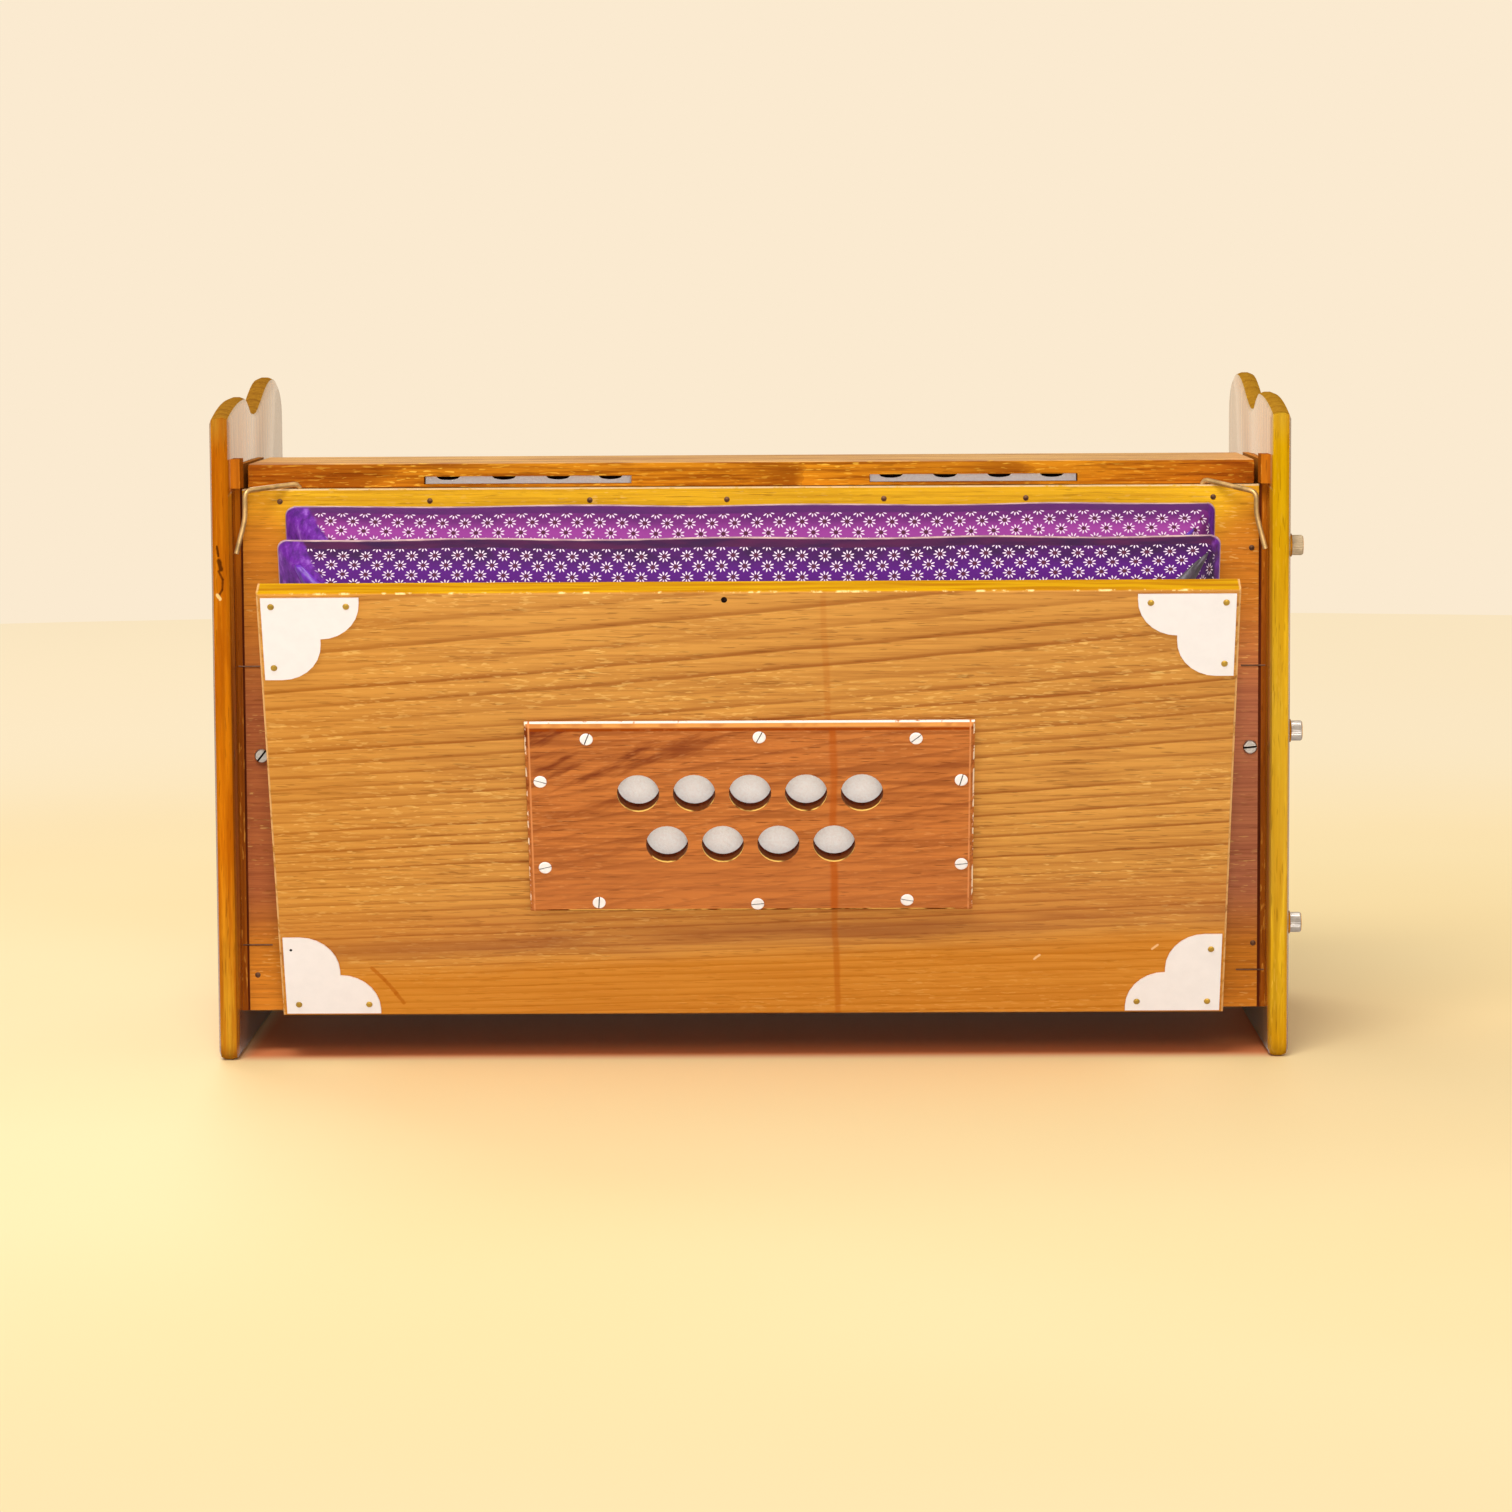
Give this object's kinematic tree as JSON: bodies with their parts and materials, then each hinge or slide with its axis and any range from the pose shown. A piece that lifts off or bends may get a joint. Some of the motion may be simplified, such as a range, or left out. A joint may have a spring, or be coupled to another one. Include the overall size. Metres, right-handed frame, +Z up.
{
  "type": "indian harmonium",
  "caption": "Hand-pumped reed organ in a varnished wooden case: wavy side boards, keyboard, pull stops, wire catches and printed cloth bellows behind a hinged board with air holes.",
  "frame": {"origin": "middle of the footprint on the floor, studs, knobs and open bellows included", "axes": "+Z up, the bellows face -Y, the player sits at +Y, low notes at +X"},
  "size_m": [0.6184, 0.4046, 0.3845],
  "materials": {
    "teak": "varnished, satin",
    "golden_teak": "varnished, satin",
    "dark_teak": "varnished, satin",
    "red_teak": "varnished, satin",
    "pale_wood": "bare, sanded",
    "white_leather": "soft, matt",
    "white_metal": "pale, satin",
    "printed_cloth": "cotton with a small white daisy print",
    "brass_wire": "dull",
    "stop_white": "turned, glossy",
    "key_white": "glossy",
    "key_black": "black lacquer, glossy"
  },
  "bodies": {
    "case": {"side_board_left": "teak", "side_board_right": "teak", "case_walls": "teak", "frame_board": "golden_teak", "base_board": "dark_teak", "lid": "teak", "reed_board": "pale_wood", "keyboard_surround": "dark_teak"},
    "bellows": {"bellows_board": "golden_teak", "air_panel": "red_teak", "valve_leather": "white_leather", "corner_plate_upper_left": "white_metal", "corner_plate_upper_right": "white_metal", "corner_plate_lower_left": "white_metal", "corner_plate_lower_right": "white_metal"},
    "fold_inner": {"pleat_inner": "printed_cloth"},
    "fold_outer": {"pleat_outer": "printed_cloth"},
    "catch_left": {"catch_left": "brass_wire"},
    "catch_right": {"catch_right": "brass_wire"},
    "stop_1": {"stop_knob_1": "stop_white"},
    "stop_2": {"stop_knob_2": "stop_white"},
    "stop_3": {"stop_knob_3": "stop_white"},
    "stop_4": {"stop_knob_4": "stop_white"},
    "white_key_01": {"white_key_01": "key_white"},
    "black_key_01": {"black_key_01": "key_black"},
    "white_key_02": {"white_key_02": "key_white"},
    "black_key_02": {"black_key_02": "key_black"},
    "white_key_03": {"white_key_03": "key_white"},
    "white_key_04": {"white_key_04": "key_white"},
    "black_key_03": {"black_key_03": "key_black"},
    "white_key_05": {"white_key_05": "key_white"},
    "black_key_04": {"black_key_04": "key_black"},
    "white_key_06": {"white_key_06": "key_white"},
    "black_key_05": {"black_key_05": "key_black"},
    "white_key_07": {"white_key_07": "key_white"},
    "white_key_08": {"white_key_08": "key_white"},
    "black_key_06": {"black_key_06": "key_black"},
    "white_key_09": {"white_key_09": "key_white"},
    "black_key_07": {"black_key_07": "key_black"},
    "white_key_10": {"white_key_10": "key_white"},
    "white_key_11": {"white_key_11": "key_white"},
    "black_key_08": {"black_key_08": "key_black"},
    "white_key_12": {"white_key_12": "key_white"},
    "black_key_09": {"black_key_09": "key_black"},
    "white_key_13": {"white_key_13": "key_white"},
    "black_key_10": {"black_key_10": "key_black"},
    "white_key_14": {"white_key_14": "key_white"},
    "white_key_15": {"white_key_15": "key_white"},
    "black_key_11": {"black_key_11": "key_black"},
    "white_key_16": {"white_key_16": "key_white"},
    "black_key_12": {"black_key_12": "key_black"},
    "white_key_17": {"white_key_17": "key_white"},
    "white_key_18": {"white_key_18": "key_white"},
    "black_key_13": {"black_key_13": "key_black"},
    "white_key_19": {"white_key_19": "key_white"},
    "black_key_14": {"black_key_14": "key_black"},
    "white_key_20": {"white_key_20": "key_white"},
    "black_key_15": {"black_key_15": "key_black"},
    "white_key_21": {"white_key_21": "key_white"},
    "white_key_22": {"white_key_22": "key_white"}
  },
  "joints": [
    {"name": "bellows_hinge", "type": "hinge", "parent": "case", "child": "bellows", "pos_m": [-0.00425, -0.08273, 0.0313], "axis": [-1, 0, 0], "range_deg": [0, 23.3], "stiffness_Nm_per_rad": 1.5, "springref_deg": -28.65},
    {"name": "fold_inner_hinge", "type": "hinge", "parent": "case", "child": "fold_inner", "pos_m": [-0.00425, -0.07318, 0.0313], "axis": [-1, 0, 0], "range_deg": [0, 5.92], "deforming": ["pleat_inner"]},
    {"name": "fold_outer_hinge", "type": "hinge", "parent": "case", "child": "fold_outer", "pos_m": [-0.00425, -0.07928, 0.0313], "axis": [-1, 0, 0], "range_deg": [0, 17.57], "deforming": ["pleat_outer"]},
    {"name": "catch_left_hinge", "type": "hinge", "parent": "case", "child": "catch_left", "pos_m": [-0.26125, -0.06573, 0.325], "axis": [0, 0, 1], "range_deg": [0, 42]},
    {"name": "catch_right_hinge", "type": "hinge", "parent": "case", "child": "catch_right", "pos_m": [0.25275, -0.06573, 0.325], "axis": [0, 0, -1], "range_deg": [0, 42]},
    {"name": "stop_1_slide", "type": "slide", "parent": "case", "child": "stop_1", "axis": [0, 1, 0], "range_m": [0, 0.012]},
    {"name": "stop_2_slide", "type": "slide", "parent": "case", "child": "stop_2", "axis": [0, 1, 0], "range_m": [0, 0.012]},
    {"name": "stop_3_slide", "type": "slide", "parent": "case", "child": "stop_3", "axis": [0, 1, 0], "range_m": [0, 0.012]},
    {"name": "stop_4_slide", "type": "slide", "parent": "case", "child": "stop_4", "axis": [0, 1, 0], "range_m": [0, 0.012]},
    {"name": "white_key_01_hinge", "type": "hinge", "parent": "case", "child": "white_key_01", "pos_m": [-0.00425, 0.04027, 0.299], "axis": [-1, 0, 0], "range_deg": [0, 3.4], "stiffness_Nm_per_rad": 0.6, "springref_deg": -5.73},
    {"name": "black_key_01_hinge", "type": "hinge", "parent": "case", "child": "black_key_01", "pos_m": [-0.00425, 0.04027, 0.299], "axis": [-1, 0, 0], "range_deg": [0, 3.4], "stiffness_Nm_per_rad": 0.6, "springref_deg": -5.73},
    {"name": "white_key_02_hinge", "type": "hinge", "parent": "case", "child": "white_key_02", "pos_m": [-0.00425, 0.04027, 0.299], "axis": [-1, 0, 0], "range_deg": [0, 3.4], "stiffness_Nm_per_rad": 0.6, "springref_deg": -5.73},
    {"name": "black_key_02_hinge", "type": "hinge", "parent": "case", "child": "black_key_02", "pos_m": [-0.00425, 0.04027, 0.299], "axis": [-1, 0, 0], "range_deg": [0, 3.4], "stiffness_Nm_per_rad": 0.6, "springref_deg": -5.73},
    {"name": "white_key_03_hinge", "type": "hinge", "parent": "case", "child": "white_key_03", "pos_m": [-0.00425, 0.04027, 0.299], "axis": [-1, 0, 0], "range_deg": [0, 3.4], "stiffness_Nm_per_rad": 0.6, "springref_deg": -5.73},
    {"name": "white_key_04_hinge", "type": "hinge", "parent": "case", "child": "white_key_04", "pos_m": [-0.00425, 0.04027, 0.299], "axis": [-1, 0, 0], "range_deg": [0, 3.4], "stiffness_Nm_per_rad": 0.6, "springref_deg": -5.73},
    {"name": "black_key_03_hinge", "type": "hinge", "parent": "case", "child": "black_key_03", "pos_m": [-0.00425, 0.04027, 0.299], "axis": [-1, 0, 0], "range_deg": [0, 3.4], "stiffness_Nm_per_rad": 0.6, "springref_deg": -5.73},
    {"name": "white_key_05_hinge", "type": "hinge", "parent": "case", "child": "white_key_05", "pos_m": [-0.00425, 0.04027, 0.299], "axis": [-1, 0, 0], "range_deg": [0, 3.4], "stiffness_Nm_per_rad": 0.6, "springref_deg": -5.73},
    {"name": "black_key_04_hinge", "type": "hinge", "parent": "case", "child": "black_key_04", "pos_m": [-0.00425, 0.04027, 0.299], "axis": [-1, 0, 0], "range_deg": [0, 3.4], "stiffness_Nm_per_rad": 0.6, "springref_deg": -5.73},
    {"name": "white_key_06_hinge", "type": "hinge", "parent": "case", "child": "white_key_06", "pos_m": [-0.00425, 0.04027, 0.299], "axis": [-1, 0, 0], "range_deg": [0, 3.4], "stiffness_Nm_per_rad": 0.6, "springref_deg": -5.73},
    {"name": "black_key_05_hinge", "type": "hinge", "parent": "case", "child": "black_key_05", "pos_m": [-0.00425, 0.04027, 0.299], "axis": [-1, 0, 0], "range_deg": [0, 3.4], "stiffness_Nm_per_rad": 0.6, "springref_deg": -5.73},
    {"name": "white_key_07_hinge", "type": "hinge", "parent": "case", "child": "white_key_07", "pos_m": [-0.00425, 0.04027, 0.299], "axis": [-1, 0, 0], "range_deg": [0, 3.4], "stiffness_Nm_per_rad": 0.6, "springref_deg": -5.73},
    {"name": "white_key_08_hinge", "type": "hinge", "parent": "case", "child": "white_key_08", "pos_m": [-0.00425, 0.04027, 0.299], "axis": [-1, 0, 0], "range_deg": [0, 3.4], "stiffness_Nm_per_rad": 0.6, "springref_deg": -5.73},
    {"name": "black_key_06_hinge", "type": "hinge", "parent": "case", "child": "black_key_06", "pos_m": [-0.00425, 0.04027, 0.299], "axis": [-1, 0, 0], "range_deg": [0, 3.4], "stiffness_Nm_per_rad": 0.6, "springref_deg": -5.73},
    {"name": "white_key_09_hinge", "type": "hinge", "parent": "case", "child": "white_key_09", "pos_m": [-0.00425, 0.04027, 0.299], "axis": [-1, 0, 0], "range_deg": [0, 3.4], "stiffness_Nm_per_rad": 0.6, "springref_deg": -5.73},
    {"name": "black_key_07_hinge", "type": "hinge", "parent": "case", "child": "black_key_07", "pos_m": [-0.00425, 0.04027, 0.299], "axis": [-1, 0, 0], "range_deg": [0, 3.4], "stiffness_Nm_per_rad": 0.6, "springref_deg": -5.73},
    {"name": "white_key_10_hinge", "type": "hinge", "parent": "case", "child": "white_key_10", "pos_m": [-0.00425, 0.04027, 0.299], "axis": [-1, 0, 0], "range_deg": [0, 3.4], "stiffness_Nm_per_rad": 0.6, "springref_deg": -5.73},
    {"name": "white_key_11_hinge", "type": "hinge", "parent": "case", "child": "white_key_11", "pos_m": [-0.00425, 0.04027, 0.299], "axis": [-1, 0, 0], "range_deg": [0, 3.4], "stiffness_Nm_per_rad": 0.6, "springref_deg": -5.73},
    {"name": "black_key_08_hinge", "type": "hinge", "parent": "case", "child": "black_key_08", "pos_m": [-0.00425, 0.04027, 0.299], "axis": [-1, 0, 0], "range_deg": [0, 3.4], "stiffness_Nm_per_rad": 0.6, "springref_deg": -5.73},
    {"name": "white_key_12_hinge", "type": "hinge", "parent": "case", "child": "white_key_12", "pos_m": [-0.00425, 0.04027, 0.299], "axis": [-1, 0, 0], "range_deg": [0, 3.4], "stiffness_Nm_per_rad": 0.6, "springref_deg": -5.73},
    {"name": "black_key_09_hinge", "type": "hinge", "parent": "case", "child": "black_key_09", "pos_m": [-0.00425, 0.04027, 0.299], "axis": [-1, 0, 0], "range_deg": [0, 3.4], "stiffness_Nm_per_rad": 0.6, "springref_deg": -5.73},
    {"name": "white_key_13_hinge", "type": "hinge", "parent": "case", "child": "white_key_13", "pos_m": [-0.00425, 0.04027, 0.299], "axis": [-1, 0, 0], "range_deg": [0, 3.4], "stiffness_Nm_per_rad": 0.6, "springref_deg": -5.73},
    {"name": "black_key_10_hinge", "type": "hinge", "parent": "case", "child": "black_key_10", "pos_m": [-0.00425, 0.04027, 0.299], "axis": [-1, 0, 0], "range_deg": [0, 3.4], "stiffness_Nm_per_rad": 0.6, "springref_deg": -5.73},
    {"name": "white_key_14_hinge", "type": "hinge", "parent": "case", "child": "white_key_14", "pos_m": [-0.00425, 0.04027, 0.299], "axis": [-1, 0, 0], "range_deg": [0, 3.4], "stiffness_Nm_per_rad": 0.6, "springref_deg": -5.73},
    {"name": "white_key_15_hinge", "type": "hinge", "parent": "case", "child": "white_key_15", "pos_m": [-0.00425, 0.04027, 0.299], "axis": [-1, 0, 0], "range_deg": [0, 3.4], "stiffness_Nm_per_rad": 0.6, "springref_deg": -5.73},
    {"name": "black_key_11_hinge", "type": "hinge", "parent": "case", "child": "black_key_11", "pos_m": [-0.00425, 0.04027, 0.299], "axis": [-1, 0, 0], "range_deg": [0, 3.4], "stiffness_Nm_per_rad": 0.6, "springref_deg": -5.73},
    {"name": "white_key_16_hinge", "type": "hinge", "parent": "case", "child": "white_key_16", "pos_m": [-0.00425, 0.04027, 0.299], "axis": [-1, 0, 0], "range_deg": [0, 3.4], "stiffness_Nm_per_rad": 0.6, "springref_deg": -5.73},
    {"name": "black_key_12_hinge", "type": "hinge", "parent": "case", "child": "black_key_12", "pos_m": [-0.00425, 0.04027, 0.299], "axis": [-1, 0, 0], "range_deg": [0, 3.4], "stiffness_Nm_per_rad": 0.6, "springref_deg": -5.73},
    {"name": "white_key_17_hinge", "type": "hinge", "parent": "case", "child": "white_key_17", "pos_m": [-0.00425, 0.04027, 0.299], "axis": [-1, 0, 0], "range_deg": [0, 3.4], "stiffness_Nm_per_rad": 0.6, "springref_deg": -5.73},
    {"name": "white_key_18_hinge", "type": "hinge", "parent": "case", "child": "white_key_18", "pos_m": [-0.00425, 0.04027, 0.299], "axis": [-1, 0, 0], "range_deg": [0, 3.4], "stiffness_Nm_per_rad": 0.6, "springref_deg": -5.73},
    {"name": "black_key_13_hinge", "type": "hinge", "parent": "case", "child": "black_key_13", "pos_m": [-0.00425, 0.04027, 0.299], "axis": [-1, 0, 0], "range_deg": [0, 3.4], "stiffness_Nm_per_rad": 0.6, "springref_deg": -5.73},
    {"name": "white_key_19_hinge", "type": "hinge", "parent": "case", "child": "white_key_19", "pos_m": [-0.00425, 0.04027, 0.299], "axis": [-1, 0, 0], "range_deg": [0, 3.4], "stiffness_Nm_per_rad": 0.6, "springref_deg": -5.73},
    {"name": "black_key_14_hinge", "type": "hinge", "parent": "case", "child": "black_key_14", "pos_m": [-0.00425, 0.04027, 0.299], "axis": [-1, 0, 0], "range_deg": [0, 3.4], "stiffness_Nm_per_rad": 0.6, "springref_deg": -5.73},
    {"name": "white_key_20_hinge", "type": "hinge", "parent": "case", "child": "white_key_20", "pos_m": [-0.00425, 0.04027, 0.299], "axis": [-1, 0, 0], "range_deg": [0, 3.4], "stiffness_Nm_per_rad": 0.6, "springref_deg": -5.73},
    {"name": "black_key_15_hinge", "type": "hinge", "parent": "case", "child": "black_key_15", "pos_m": [-0.00425, 0.04027, 0.299], "axis": [-1, 0, 0], "range_deg": [0, 3.4], "stiffness_Nm_per_rad": 0.6, "springref_deg": -5.73},
    {"name": "white_key_21_hinge", "type": "hinge", "parent": "case", "child": "white_key_21", "pos_m": [-0.00425, 0.04027, 0.299], "axis": [-1, 0, 0], "range_deg": [0, 3.4], "stiffness_Nm_per_rad": 0.6, "springref_deg": -5.73},
    {"name": "white_key_22_hinge", "type": "hinge", "parent": "case", "child": "white_key_22", "pos_m": [-0.00425, 0.04027, 0.299], "axis": [-1, 0, 0], "range_deg": [0, 3.4], "stiffness_Nm_per_rad": 0.6, "springref_deg": -5.73}
  ],
  "couplings": [
    {"joint": "fold_inner_hinge", "follows": "bellows_hinge", "ratio": 0.25},
    {"joint": "fold_outer_hinge", "follows": "bellows_hinge", "ratio": 0.75}
  ]
}
